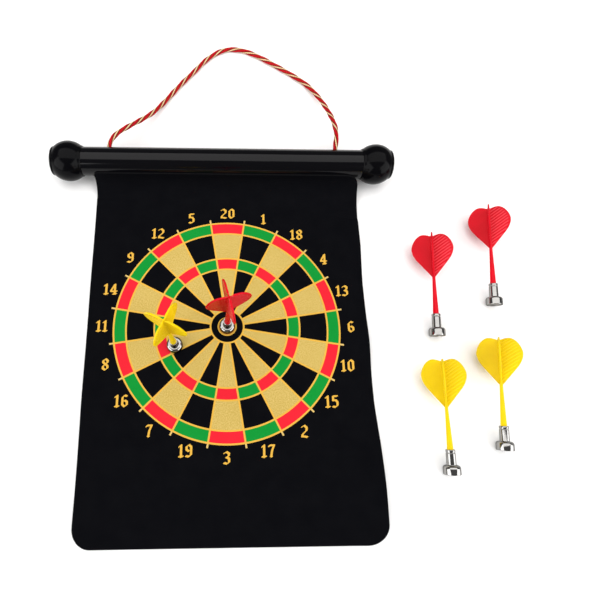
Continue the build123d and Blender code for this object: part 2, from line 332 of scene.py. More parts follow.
def rounded(corners, steps=6):
    """A profile through corners (along, out, radius), each rounded to its radius."""
    profile = []
    for i, (along, out, radius) in enumerate(corners):
        corner = Vector((along, out))
        if radius == 0 or i in (0, len(corners) - 1):
            profile.append(tuple(corner))
            continue
        back = (Vector(corners[i - 1][:2]) - corner).normalized()
        ahead = (Vector(corners[i + 1][:2]) - corner).normalized()
        half = back.angle(ahead) / 2
        centre = corner + (back + ahead).normalized() * radius / math.sin(half)
        first = corner + back * radius / math.tan(half) - centre
        turn = first.angle_signed(corner + ahead * radius / math.tan(half) - centre)
        for step in range(steps + 1):
            arm = first.copy()
            arm.rotate(Matrix.Rotation(-turn * step / steps, 2))
            profile.append(tuple(centre + arm))
    return profile


ON_AXIS = 1e-7  # a point nearer the axis than this is on it


def lathe(profile, segments):
    """(points, faces) of a profile of (along, out) turned about +Z. A profile off the axis is closed."""
    rings, points = [], []
    for along, out in profile:
        if out < ON_AXIS:
            rings.append([len(points)] * segments)
            points.append((0, 0, along))
            continue
        rings.append(list(range(len(points), len(points) + segments)))
        for k in range(segments):
            angle = 2 * math.pi * k / segments
            points.append((out * math.cos(angle), out * math.sin(angle), along))
    pairs = list(zip(rings, rings[1:]))
    if profile[0][1] > ON_AXIS and profile[-1][1] > ON_AXIS:
        pairs.append((rings[-1], rings[0]))
    faces = []
    for ring, following in pairs:
        for k in range(segments):
            corner = (k + 1) % segments
            face = list(dict.fromkeys((ring[k], ring[corner], following[corner], following[k])))
            if len(face) > 2:
                faces.append(face)
    return points, faces


def placed(part, matrix):
    """(points, faces) moved by a matrix."""
    points, faces = part
    return [matrix @ Vector(point) for point in points], faces


def finish_piece(made, body, slot, *nodes):
    """The piece rides on a body and stands for CAD nodes, which are hidden. The slot is not used."""
    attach(made, body)
    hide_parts(*nodes)


make_camera()


# ---- Hanging cord ----

# The CAD route's points, with one more inside each of the tube's holes.
CORD_ROUTE = [
    (-0.135, 0.1982, 0.0277),
    (-0.135, 0.204582, 0.030699),
    (-0.1285, 0.2165, 0.032),
    (-0.116, 0.2305, 0.027),
    (-0.103, 0.248, 0.016),
    (-0.089, 0.267, 0.0065),
    (-0.074, 0.290, 0.00285),
    (-0.0595, 0.3105, 0.00285),
    (-0.043, 0.330, 0.00285),
    (-0.0265, 0.3515, 0.00285),
    (-0.0055, 0.3665, 0.00285),
    (0.0185, 0.366, 0.00285),
    (0.0405, 0.355, 0.00285),
    (0.061, 0.3415, 0.00285),
    (0.0815, 0.3275, 0.00285),
    (0.1005, 0.3125, 0.00285),
    (0.1135, 0.2905, 0.0065),
    (0.1205, 0.2655, 0.016),
    (0.1245, 0.2395, 0.027),
    (0.125, 0.2185, 0.032),
    (0.1225, 0.204582, 0.030699),
    (0.1225, 0.1982, 0.0277),
]
LAY_LENGTH = -43.0 * MM  # of one full turn of the plies, which wind to the left
# Each kind of ply: its radius, how far its middle is from the cord's, and its places round the cord.
PLIES = [
    (1.55 * MM, 1.38 * MM, (0, 180)),
    (0.80 * MM, 1.72 * MM, (90, 270)),
    # Painted shade: these thin dark plies stand for the shade on each side of the cream plies.
    (0.50 * MM, 2.0 * MM, (52, 128, 232, 308)),
]
PLY_YARNS = [red_yarn, cream_yarn, painted_shade_yarn]
PLY_SIDES = 10
PLY_STEP = 0.7 * MM


def spline_points(route):
    """Points along the NURBS curve that has the route as its control points."""
    curve = bpy.data.curves.new("route", "CURVE")
    curve.dimensions = "3D"
    curve.resolution_u = 32
    spline = curve.splines.new("NURBS")
    spline.points.add(len(route) - 1)
    for point, place in zip(spline.points, route):
        point.co = (*place, 1)
    spline.order_u = 3
    spline.use_endpoint_u = True
    holder = bpy.data.objects.new("route", curve)
    mesh = bpy.data.meshes.new_from_object(holder)
    points = np.array([vertex.co for vertex in mesh.vertices], float)
    bpy.data.objects.remove(holder)
    bpy.data.meshes.remove(mesh)
    bpy.data.curves.remove(curve)
    return points


def evenly(points, step):
    """The same line with its points about a step apart."""
    along = np.concatenate([[0], np.cumsum(np.linalg.norm(np.diff(points, axis=0), axis=1))])
    marks = np.linspace(0, along[-1], max(2, round(along[-1] / step) + 1))
    return np.stack([np.interp(marks, along, points[:, k]) for k in range(3)], axis=1), marks


def frames_along(points):
    """Two unit vectors across the line at each point, which turn with it as little as they can."""
    tangents = np.gradient(points, axis=0)
    tangents /= np.linalg.norm(tangents, axis=1)[:, None]
    side = np.cross(tangents[0], (0.0, 0.0, 1.0))
    sides = []
    for tangent in tangents:
        side = side - tangent * (side @ tangent)
        side = side / np.linalg.norm(side)
        sides.append(side)
    sides = np.array(sides)
    return sides, np.cross(tangents, sides)


def tube_along(points, marks, radius, sides_count):
    """(points, faces) of a capped round tube, with each point's pair of metres along and round it."""
    across, up = frames_along(points)
    angles = np.linspace(0, 2 * math.pi, sides_count, endpoint=False)
    arms = across[:, None] * np.cos(angles)[:, None] + up[:, None] * np.sin(angles)[:, None]
    rings = points[:, None] + radius * arms
    pairs = [(mark, radius * angle) for mark in marks for angle in angles]
    count, faces = len(points), []
    for i in range(count - 1):
        for k in range(sides_count):
            near, far = i * sides_count, (i + 1) * sides_count
            following = (k + 1) % sides_count
            faces.append([near + k, near + following, far + following, far + k])
    faces.append(list(range(sides_count))[::-1])
    faces.append([(count - 1) * sides_count + k for k in range(sides_count)])
    return rings.reshape(-1, 3).tolist(), faces, pairs


def twisted_cord(name, line):
    """The cord's plies, wound round a line, as one object."""
    centre, marks = evenly(line, PLY_STEP)
    across, up = frames_along(centre)
    parts, pairs, slots = [], [], []
    for slot, (radius, out, starts_deg) in enumerate(PLIES):
        for start_deg in starts_deg:
            angles = math.radians(start_deg) + 2 * math.pi * marks / LAY_LENGTH
            ply = centre + out * (across * np.cos(angles)[:, None] + up * np.sin(angles)[:, None])
            ply_points, ply_faces, ply_pairs = tube_along(ply, marks, radius, PLY_SIDES)
            parts.append((ply_points, ply_faces))
            pairs += ply_pairs
            slots += [slot] * len(ply_faces)
    made = new_object(name, *joined(*parts), PLY_YARNS, slots, YARN_SHARP_DEG)
    paint_map(made, YARN_MAP, pairs)
    return made


KNOT_SIZE = 1.55 * MM  # a third of how far the knot's line reaches from its middle
KNOT_SPACING = 5.0 * MM  # from where the cord's line starts to the knot's middle
KNOT_GAP = 0.35  # radians of the knot's closed line left open at each end


def stop_knot(side_name, start, following):
    """The overhand knot inside the tube that holds one end of the cord."""
    inward = (Vector(start) - Vector(following)).normalized()
    turns = np.linspace(KNOT_GAP, 2 * math.pi - KNOT_GAP, 90)
    x = np.sin(turns) + 2 * np.sin(2 * turns)
    y = np.cos(turns) - 2 * np.cos(2 * turns)
    line = np.stack([x, y, -np.sin(3 * turns)], axis=1)
    across = inward.orthogonal().normalized()
    axes = np.array([inward, across, inward.cross(across)])
    middle = np.array(Vector(start) + inward * KNOT_SPACING)
    made = twisted_cord(f"cord_knot_{side_name}", middle + KNOT_SIZE * line @ axes)
    finish_piece(made, "board", "cord", f"cord_end_{side_name}")
    return made


cord_line = spline_points(CORD_ROUTE)
cord = twisted_cord("cord_plies", cord_line)
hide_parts("hanging_cord")
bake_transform(cord)
knots = [
    stop_knot("left", CORD_ROUTE[0], CORD_ROUTE[1]),
    stop_knot("right", CORD_ROUTE[-1], CORD_ROUTE[-2]),
]


# ---- Tube and knobs ----

tube_low, tube_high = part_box("top_tube")
tube_middle = (tube_low + tube_high) / 2
TUBE_R = (tube_high.y - tube_low.y) / 2
TUBE_WALL = 1.6 * MM
TUBE_SEGMENTS, HOLE_SEGMENTS, KNOB_SEGMENTS = 144, 40, 128
HOLE_R = 3.2 * MM
HOLE_REACH = 7.0 * MM  # the tube's mesh has a ring this far each side of a hole
hole_places = [Vector(CORD_ROUTE[1]), Vector(CORD_ROUTE[-2])]


def along_x(middle, side=1):
    """Turns +Z into +X, or -X for side -1, and moves the origin to a middle."""
    return Matrix.Translation(middle) @ Matrix.Rotation(side * math.pi / 2, 4, "Y")


def cut_away(made, cutter):
    """Takes a cutter's shape out of a piece and removes the cutter."""
    modifier = made.modifiers.new("cut", "BOOLEAN")
    modifier.operation = "DIFFERENCE"
    modifier.solver = "EXACT"
    modifier.object = cutter
    cut = made.evaluated_get(bpy.context.evaluated_depsgraph_get())
    mesh = bpy.data.meshes.new_from_object(cut)
    made.modifiers.clear()
    made.data = mesh
    bpy.data.objects.remove(cutter)
    mesh.shade_smooth()
    mesh.set_sharp_from_angle(angle=math.radians(SHARP_DEG))


def make_tube():
    half = (tube_high.x - tube_low.x) / 2
    marks = [-half, half]
    for place in hole_places:
        marks += [place.x - tube_middle.x - HOLE_REACH, place.x - tube_middle.x + HOLE_REACH]
    inner = TUBE_R - TUBE_WALL
    outside = [(mark, TUBE_R) for mark in sorted(marks)]
    inside = [(mark, inner) for mark in sorted(marks, reverse=True)]
    points, faces = placed(lathe(outside + inside, TUBE_SEGMENTS), along_x(tube_middle))
    tube = new_object("tube_shell", points, faces, [tube_plastic])
    for place in hole_places:
        axis_point = Vector((place.x, tube_middle.y, tube_middle.z))
        outward = (place - axis_point).normalized()
        turn = outward.to_track_quat("Z", "X").to_matrix().to_4x4()
        drill = lathe([(0, 0), (0, HOLE_R), (2 * TUBE_R, HOLE_R), (2 * TUBE_R, 0)], HOLE_SEGMENTS)
        points, faces = placed(drill, Matrix.Translation(axis_point) @ turn)
        cut_away(tube, new_object("drill", points, faces, []))
    finish_piece(tube, "board", "tube_plastic", "top_tube")


KNOB_R = 22.5 * MM
KNOB_CENTRE_OUT = 174.5 * MM  # from the tube's middle to a ball's centre
KNOB_MOUTH = -16.6 * MM  # along the tube from the ball's centre, outward positive
KNOB_NECK = -14.0 * MM
KNOB_FACE = 15.0 * MM
KNOB_BORE_END = -1.5 * MM
CAVITY_R = 13.0 * MM
CAP_R = 16.2 * MM
CAP_FACE = 18.0 * MM
CAP_SPIGOT_START = 10.0 * MM
CAP_GAP = 0.35 * MM
ARC_STEPS = 40


def ball_arc(start, end):
    """Points of the ball's outline between two places along its axis."""
    first, last = (math.acos(place / KNOB_R) for place in (start, end))
    angles = [first + (last - first) * i / ARC_STEPS for i in range(ARC_STEPS + 1)]
    return [(KNOB_R * math.cos(angle), KNOB_R * math.sin(angle)) for angle in angles]


def knob_profile():
    """Outline of a ball knob, from the mouth over the ball to the groove behind its cap, and inside."""
    ball = ball_arc(KNOB_NECK, KNOB_FACE - 0.8 * MM)
    mouth = [
        (KNOB_MOUTH, TUBE_R + 0.05 * MM),
        (KNOB_MOUTH + 0.1 * MM, TUBE_R + 0.5 * MM),
        (KNOB_MOUTH + 0.7 * MM, TUBE_R + 0.95 * MM),
        (KNOB_MOUTH + 1.5 * MM, TUBE_R + 1.35 * MM),
    ]
    rim = rounded(
        [
            (ball[-1][0], ball[-1][1], 0),
            (KNOB_FACE, ball[-1][1] - 0.5 * MM, 0.35 * MM),
            (KNOB_FACE - 0.1 * MM, CAVITY_R + 0.5 * MM, 0),
            (KNOB_FACE - 0.9 * MM, CAVITY_R, 0),
        ]
    )
    inside = [(KNOB_BORE_END, CAVITY_R), (KNOB_BORE_END, TUBE_R + 0.05 * MM)]
    return mouth + ball + rim[1:] + inside


def cap_profile():
    """Outline of the cap pushed into a knob's end, with a faint ring in its face."""
    corners = [
        (CAP_SPIGOT_START, 0, 0),
        (CAP_SPIGOT_START, CAVITY_R - 0.1 * MM, 0.4 * MM),
        (KNOB_FACE + CAP_GAP, CAVITY_R - 0.1 * MM, 0),
        (KNOB_FACE + CAP_GAP, CAP_R, 0.4 * MM),
        (CAP_FACE, CAP_R, 1.7 * MM),
        (CAP_FACE + 0.1 * MM, CAP_R - 4.2 * MM, 0.3 * MM),
        (CAP_FACE - 0.2 * MM, CAP_R - 4.7 * MM, 0.3 * MM),
        (CAP_FACE, CAP_R - 5.4 * MM, 0.6 * MM),
        (CAP_FACE + 0.35 * MM, CAP_R - 10 * MM, 8 * MM),
        (CAP_FACE + 0.4 * MM, 0, 0),
    ]
    return rounded(corners)


def make_knobs():
    for side, side_name in ((-1, "left"), (1, "right")):
        middle = tube_middle + Vector((side * KNOB_CENTRE_OUT, 0, 0))
        place = along_x(middle, side)
        pieces = (("knob_shell", "ball_knob", knob_profile()), ("knob_disc", "knob_cap", cap_profile()))
        for label, cad_name, profile in pieces:
            shape = placed(lathe(profile, KNOB_SEGMENTS), place)
            made = new_object(f"{label}_{side_name}", *shape, [knob_plastic])
            finish_piece(made, "board", "knob_plastic", f"{cad_name}_{side_name}")


make_tube()
make_knobs()
tape_materials = frame["nodes"]["lap_tape"].data.materials
tape_materials.clear()
tape_materials.append(tape_film)


# ---- Printed sheet: the flat drawing, in millimetres ----

OUTER_R = 121.0
RING_RADII = [OUTER_R, 107.9, 77.9, 65.1, 17.8, 9.4]  # double, treble and bull, each outside then inside
LINE_HALF = 0.9
TICK_END = 126.0
SECTOR_DEG = 18.0
NUMBERS = [20, 1, 18, 4, 13, 6, 10, 15, 2, 17, 3, 19, 7, 16, 8, 11, 14, 9, 12, 5]
NUMBER_R = 133.4
DIGIT_HEIGHT = 13.0
DIGIT_GAP = 1.0
NIB_LENGTH = 0.17  # of a digit's height
NIB_THICKNESS = 0.06
NIB_DEG = 32.0

# Each digit's width and its pen strokes, on a grid that is 1 high.
DIGIT_WIDTHS = [0.60, 0.44, 0.60, 0.60, 0.64, 0.58, 0.60, 0.56, 0.60, 0.60]
DIGIT_STROKES = [
    [  # 0
        [(0.13, 0.76), (0.13, 0.22), (0.31, 0.07), (0.49, 0.20), (0.49, 0.80), (0.31, 0.93), (0.13, 0.76)],
    ],
    [  # 1
        [(0.09, 0.78), (0.23, 0.92), (0.23, 0.10)],
        [(0.09, 0.08), (0.36, 0.08)],
        [(0.20, 0.08), (0.26, 0.03)],
    ],
    [  # 2
        [(0.12, 0.82), (0.30, 0.92), (0.48, 0.76), (0.46, 0.56), (0.14, 0.26), (0.11, 0.09)],
        [(0.11, 0.11), (0.30, 0.10), (0.50, 0.06)],
    ],
    [  # 3
        [(0.11, 0.82), (0.28, 0.92), (0.47, 0.80), (0.44, 0.62), (0.26, 0.53)],
        [(0.28, 0.53), (0.47, 0.44), (0.48, 0.18), (0.32, 0.06), (0.10, 0.12)],
    ],
    [  # 4
        [(0.40, 0.92), (0.11, 0.38), (0.10, 0.30)],
        [(0.10, 0.30), (0.56, 0.30)],
        [(0.41, 0.90), (0.41, 0.10)],
        [(0.28, 0.07), (0.52, 0.07)],
    ],
    [  # 5
        [(0.15, 0.91), (0.46, 0.91)],
        [(0.14, 0.90), (0.14, 0.58)],
        [(0.14, 0.58), (0.34, 0.60), (0.47, 0.46), (0.47, 0.20), (0.31, 0.06), (0.11, 0.11)],
    ],
    [  # 6
        [(0.46, 0.86), (0.30, 0.93), (0.13, 0.76), (0.13, 0.22), (0.31, 0.06), (0.49, 0.20)],
        [(0.49, 0.20), (0.49, 0.42), (0.33, 0.54), (0.14, 0.44)],
    ],
    [  # 7
        [(0.10, 0.82), (0.14, 0.90), (0.49, 0.91)],
        [(0.48, 0.90), (0.32, 0.52), (0.26, 0.14)],
        [(0.22, 0.13), (0.30, 0.07)],
    ],
    [  # 8
        [(0.30, 0.52), (0.13, 0.66), (0.14, 0.82), (0.31, 0.93), (0.48, 0.80), (0.46, 0.64)],
        [(0.46, 0.64), (0.14, 0.36), (0.12, 0.18), (0.31, 0.06)],
        [(0.31, 0.06), (0.49, 0.20), (0.48, 0.38), (0.30, 0.52)],
    ],
    [  # 9
        [(0.47, 0.56), (0.30, 0.46), (0.13, 0.58), (0.13, 0.80), (0.31, 0.93), (0.48, 0.80)],
        [(0.48, 0.80), (0.48, 0.22), (0.32, 0.07), (0.10, 0.12)],
    ],
]

# Places in the sheet's material list.
FLOCK, GOLD, RED, GREEN, LINE, TICK, BACK = range(7)
SHEET_MATERIALS = [flock, gold_ink, red_ink, green_ink, line_ink, tick_ink, sheet_back]

face_low, face_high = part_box("sheet_face")
SHEET_LEFT, SHEET_RIGHT = face_low.x / MM, face_high.x / MM
SHEET_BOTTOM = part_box("roll_strip_10")[0].y / MM
SHEET_TOP = 187.5  # up the flat sheet
SHEET_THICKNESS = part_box("roll_strip_01")[1].z / MM
BOTTOM_CORNER_R = 19.5
TOP_CORNER_R = 17.0
TOP_LEFT_CORNER_R = 5.0
CORNER_STEPS = 16
EDGE_STEP = 3.0  # between points along the sheet's edge and its strips'
FILL_STEP = 4.0  # between the columns of points that fill the sheet
BEND_FILL_START = 120.0  # up the sheet, from where the points are closer
BEND_FILL_STEP = 1.6
hinges = [joint["pos_m"][1] / MM for joint in frame["joints"] if joint["name"].startswith("roll_")]
STRIP_PITCH = hinges[0] - hinges[1]
cuts = [hinge + STRIP_PITCH / 2 for hinge in hinges]


def ink_at(x, y):
    """The colour printed at a point of the target, digits apart."""
    out = math.hypot(x, y)
    sector = math.degrees(math.atan2(x, y)) / SECTOR_DEG
    off_line = abs(sector + 0.5 - round(sector + 0.5)) * math.radians(SECTOR_DEG)
    on_spoke = out > RING_RADII[4] and out * math.sin(off_line) < LINE_HALF
    if any(abs(out - radius) < LINE_HALF for radius in RING_RADII):
        return LINE
    if out > OUTER_R:
        return TICK if on_spoke and out < TICK_END else FLOCK
    if out < RING_RADII[5]:
        return RED
    if out < RING_RADII[4]:
        return FLOCK
    if on_spoke:
        return LINE
    even = round(sector) % 2 == 0
    if out > RING_RADII[1] or RING_RADII[3] < out < RING_RADII[2]:
        return RED if even else GREEN
    return GOLD if even else FLOCK


def nib_sweep(start, end):
    """Outline that a flat pen nib covers as it moves between two points of a digit."""
    turn = math.radians(NIB_DEG)
    length = Vector((math.cos(turn), math.sin(turn))) * NIB_LENGTH / 2
    thickness = Vector((-math.sin(turn), math.cos(turn))) * NIB_THICKNESS / 2
    corners = []
    for point in (Vector(start), Vector(end)):
        for along, across in ((-1, -1), (1, -1), (1, 1), (-1, 1)):
            corners.append(point + along * length + across * thickness)
    return [corners[i] for i in geometry.convex_hull_2d(corners)]


def digit_outlines():
    """Outlines of all pen strokes of the numbers round the target."""
    outlines = []
    for place, number in enumerate(NUMBERS):
        turn = math.radians(place * SECTOR_DEG)
        digits = [int(digit) for digit in str(number)]
        widths = [DIGIT_WIDTHS[digit] * DIGIT_HEIGHT for digit in digits]
        whole = sum(widths) + DIGIT_GAP * (len(digits) - 1)
        middle = NUMBER_R * Vector((math.sin(turn), math.cos(turn)))
        corner = middle - Vector((whole, DIGIT_HEIGHT)) / 2
        for digit, width in zip(digits, widths):
            for stroke in DIGIT_STROKES[digit]:
                for start, end in zip(stroke, stroke[1:]):
                    outlines.append([corner + DIGIT_HEIGHT * point for point in nib_sweep(start, end)])
            corner = corner + Vector((width + DIGIT_GAP, 0))
    return outlines


def circle(x, y, radius, steps, start_deg=0.0, sweep_deg=360.0):
    """Points of a circle or of an arc."""
    angles = [math.radians(start_deg + sweep_deg * i / steps) for i in range(steps)]
    return [Vector((x + radius * math.cos(angle), y + radius * math.sin(angle))) for angle in angles]


def sheet_outline():
    """Edge of the flat sheet, with its round corners."""
    corners = [
        (SHEET_RIGHT, SHEET_TOP, TOP_CORNER_R, -1, -1, 0.0),
        (SHEET_LEFT, SHEET_TOP, TOP_LEFT_CORNER_R, 1, -1, 90.0),
        (SHEET_LEFT, SHEET_BOTTOM, BOTTOM_CORNER_R, 1, 1, 180.0),
        (SHEET_RIGHT, SHEET_BOTTOM, BOTTOM_CORNER_R, -1, 1, 270.0),
    ]
    outline = []
    for x, y, radius, right, up, start in corners:
        sweep = 90.0 * (CORNER_STEPS + 1) / CORNER_STEPS
        outline += circle(x + right * radius, y + up * radius, radius, CORNER_STEPS, start, sweep)
    divided = []
    for start, end in zip(outline, outline[1:] + outline[:1]):
        count = math.ceil((end - start).length / EDGE_STEP)
        divided += [start.lerp(end, i / count) for i in range(count)]
    return divided


def on_sheet(x, y, margin=0.0):
    """Whether a point of the flat sheet is inside its outline by a margin."""
    radius = BOTTOM_CORNER_R
    if y > 0:
        radius = TOP_CORNER_R if x > 0 else TOP_LEFT_CORNER_R
    over_x = max(SHEET_LEFT + radius - x, x - SHEET_RIGHT + radius)
    over_y = max(SHEET_BOTTOM + radius - y, y - SHEET_TOP + radius)
    if over_x > 0 and over_y > 0:
        return math.hypot(over_x, over_y) < radius - margin
    return max(over_x, over_y) < radius - margin


def filling_points():
    """Points between the printed edges, closer together where the sheet bends."""
    bands = [
        (SHEET_BOTTOM, cuts[0], STRIP_PITCH / 6),
        (cuts[0], BEND_FILL_START, FILL_STEP),
        (BEND_FILL_START, SHEET_TOP, BEND_FILL_STEP),
    ]
    columns = np.arange(SHEET_LEFT + FILL_STEP / 2, SHEET_RIGHT, FILL_STEP)
    points = []
    for low, high, step in bands:
        rows = np.arange(low, high, step)
        if high == cuts[0]:
            rows = np.arange(high - step / 2, low, -step)
        for y in rows:
            points += [Vector((x, y)) for x in columns if on_sheet(x, y, 1.0)]
    return points


def flat_triangles():
    """The flat drawing as triangles: points, faces, and each face's place in the material list."""
    points, edges, faces = [], [], []

    def add_loop(loop):
        first = len(points)
        points.extend(loop)
        edges.extend((first + i, first + (i + 1) % len(loop)) for i in range(len(loop)))
        return list(range(first, len(points)))

    for outline in digit_outlines():
        faces.append(add_loop(outline))
    digit_faces = len(faces)
    add_loop(sheet_outline())
    for radius in RING_RADII:
        steps = 200 if radius > 50 else 100
        for edge in (radius - LINE_HALF, radius + LINE_HALF):
            add_loop(circle(0, 0, edge, steps))
    for place in range(len(NUMBERS)):
        turn = math.radians((place + 0.5) * SECTOR_DEG)
        out = Vector((math.sin(turn), math.cos(turn)))
        across = Vector((out.y, -out.x)) * LINE_HALF
        near, far = out * RING_RADII[4], out * TICK_END
        add_loop([near - across, far - across, far + across, near + across])
    seam_count = round((SHEET_RIGHT - SHEET_LEFT) / EDGE_STEP)
    for cut in cuts:
        first = len(points)
        points.extend(Vector((x, cut)) for x in np.linspace(SHEET_LEFT - 1, SHEET_RIGHT + 1, seam_count))
        edges.extend((first + i, first + i + 1) for i in range(seam_count - 1))
    points.extend(filling_points())
    found = geometry.delaunay_2d_cdt(points, edges, faces, 0, 1e-4, True)
    flat = np.array([tuple(point) for point in found[0]])
    kept, slots = [], []
    for face, inside in zip(found[2], found[5]):
        x, y = (sum(flat[i][k] for i in face) / 3 for k in range(2))
        if not on_sheet(x, y):
            continue
        kept.append(face)
        is_digit = any(number < digit_faces for number in inside)
        slots.append(LINE if is_digit else ink_at(x, y))
    return flat, kept, slots


# ---- Printed sheet: its shape ----

LAP_DEG = 12.0
TAPE_THICKNESS = 0.3
BEND_START = (150.0, 127.0)  # where the sheet leaves the table, at its left and right edges
tube_y, tube_z, tube_r = tube_middle.y / MM, tube_middle.z / MM, TUBE_R / MM
lap_r = tube_r + TAPE_THICKNESS
# Where the right edge doesn't lie flat: how far up the sheet, its half length and its height.
LIFTS = [(-18.0, 24.0, 5.0), (-160.0, 42.0, 8.0)]
EDGE_START = 92.0  # across the sheet to either side, where lift and drift set in
# Both edges are faintly wavy as well.
WAVE_HEIGHT = 0.5
WAVE_START, WAVE_FULL = 100.0, 150.0  # across the sheet
WAVE_LENGTH = 19.0 * 2 * math.pi  # up the sheet
BEND_POWER = 1.3  # of the share across the sheet, as the bend's start moves from left to right
# The side edges aren't quite straight: places up the sheet, and how far to the right each edge is there.
LEFT_DRIFT = [(-214.5, -165.0, -80.0, 187.5), (1.6, 1.5, 0.1, -2.5)]
RIGHT_DRIFT = [(-214.5, -120.0, -80.0, 50.0, 95.0, 130.0, 187.5), (4.3, 2.2, 0.0, -1.7, -0.4, -1.4, -1.8)]
# The bottom edge is a little askew: it rises to the right of the middle and falls to the left of it.
SKEW_RISE = 0.0133  # per length across
SKEW_MIDDLE = -25.0  # across the sheet
SKEW_START = -140.0  # up the sheet, where it sets in


def lifts(x, s):
    """Height of the sheet's underside over the table, where its edges don't lie flat."""
    share = np.clip((x - EDGE_START) / (SHEET_RIGHT - EDGE_START), 0, 1) ** 2
    height = np.zeros_like(x)
    for middle, half, rise in LIFTS:
        height += rise * share * np.exp(-(((s - middle) / half) ** 2))
    outward = np.clip((np.abs(x) - WAVE_START) / (WAVE_FULL - WAVE_START), 0, 1) ** 2
    return height + WAVE_HEIGHT * outward * (1 + np.sin(2 * math.pi * s / WAVE_LENGTH + np.sign(x)))


def bend_place(start, length):
    """Y and Z on the sheet's side view, a length past where it leaves the table at start."""
    reach = tube_y - lap_r - start
    angles = np.linspace(0, math.pi / 2, 60)
    ys, zs = start + reach * np.sin(angles), tube_z * (1 - np.cos(angles))
    lap_angles = np.linspace(0, math.radians(LAP_DEG), 12)[1:]
    ys = np.concatenate([ys, tube_y - lap_r * np.cos(lap_angles)])
    zs = np.concatenate([zs, tube_z + lap_r * np.sin(lap_angles)])
    along = np.concatenate([[0], np.cumsum(np.hypot(np.diff(ys), np.diff(zs)))])
    at = length * along[-1] / (SHEET_TOP - start)
    return np.interp(at, along, ys), np.interp(at, along, zs)


def underside(x, s):
    """Places of the sheet's underside, from places across and up the flat sheet."""
    share = np.clip((x - SHEET_LEFT) / (SHEET_RIGHT - SHEET_LEFT), 0, 1)
    starts = BEND_START[0] + (BEND_START[1] - BEND_START[0]) * share**BEND_POWER
    skew = SKEW_RISE * (x - SKEW_MIDDLE) * np.clip((SKEW_START - s) / (SKEW_START - SHEET_BOTTOM), 0, 1)
    y, z = s + skew, lifts(x, s)
    for i in np.flatnonzero(s > starts):
        y[i], z[i] = bend_place(starts[i], s[i] - starts[i])
    drift = np.interp(s, *RIGHT_DRIFT) * np.clip((x - EDGE_START) / (SHEET_RIGHT - EDGE_START), 0, 1) ** 2
    drift += np.interp(s, *LEFT_DRIFT) * np.clip((x + EDGE_START) / (SHEET_LEFT + EDGE_START), 0, 1) ** 2
    return np.stack([x + drift, y, z], axis=1)


def solid_sheet(flat):
    """Places of the sheet's face and underside, in metres."""
    step = 0.4  # along which the slopes are taken, in millimetres
    x, s = flat[:, 0], flat[:, 1]
    under = underside(x, s)
    inward = np.where(s + step > SHEET_TOP, -step, step)
    along = (underside(x, s + inward) - under) / inward[:, None]
    across = underside(x + step, s) - underside(x - step, s)
    normal = np.cross(across, along)
    normal /= np.linalg.norm(normal, axis=1)[:, None]
    return (under + SHEET_THICKNESS * normal) * MM, under * MM


def sheet_piece(name, flat, top, under, faces, slots):
    """A closed piece of the sheet from some of its triangles."""
    used = sorted({i for face in faces for i in face})
    number = {old: new for new, old in enumerate(used)}
    count = len(used)
    upper = [[number[i] for i in face] for face in faces]
    lower = [[number[i] + count for i in reversed(face)] for face in faces]
    sides = {}
    for face in upper:
        for a, b in zip(face, face[1:] + face[:1]):
            if not sides.pop((b, a), None):
                sides[a, b] = True
    walls = [[b, a, a + count, b + count] for a, b in sides]
    points = np.concatenate([top[used], under[used]])
    face_slots = slots + [BACK] * (len(lower) + len(walls))
    made = new_object(name, points, upper + lower + walls, SHEET_MATERIALS, face_slots)
    paint_map(made, FLAT_MAP, np.concatenate([flat[used], flat[used]]) * MM)
    return made


def make_sheet():
    flat, faces, slots = flat_triangles()
    top, under = solid_sheet(flat)
    bands = {}
    for face, slot in zip(faces, slots):
        middle = sum(flat[i][1] for i in face) / 3
        band = sum(middle < cut for cut in cuts)
        bands.setdefault(band, ([], []))
        bands[band][0].append(face)
        bands[band][1].append(slot)
    fixed = sheet_piece("printed_sheet", flat, top, under, *bands[0])
    finish_piece(fixed, "board", "sheet_face", "sheet_core", "sheet_core_top", "sheet_face")
    for k, cut in enumerate(cuts, start=1):
        strip = sheet_piece(f"sheet_strip_{k:02d}", flat, top, under, *bands[k])
        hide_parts(f"roll_strip_{k:02d}")
        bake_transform(strip)


make_sheet()


# ---- Darts ----

DART_LENGTH = 112.0 * MM
HEAD_R = 8.4 * MM
HEAD_LENGTH = 8.6 * MM
SLEEVE_R = 4.5 * MM
SLEEVE_END = 23.5 * MM
SOCKET_R = 3.4 * MM
SOCKET_FLOOR = 6.5 * MM
MAGNET_R = 7.2 * MM
MAGNET_TOP = 3.4 * MM
MAGNET_RECESS = 0.4 * MM
MAGNET_HALF = 1.5 * MM  # of the CAD magnet's thickness
STEM_R_LOW = 3.0 * MM
STEM_R_HIGH = 1.6 * MM
SPINE_R = 1.35 * MM
FLIGHT_START = 62.0 * MM
VANE_HALF = 0.5 * MM
RIB_HEIGHT = 0.45 * MM
RIB_PITCH = 2.8 * MM
RIB_DEG = 34.0
RIB_MARGIN = 1.3 * MM
RIM_EXTRA = 0.5 * MM  # that a vane is thicker at its rim, on each side
HEAD_SEGMENTS = 72
STEM_SEGMENTS = 40
VANE_ROWS = 120
VANE_COLUMNS = 28


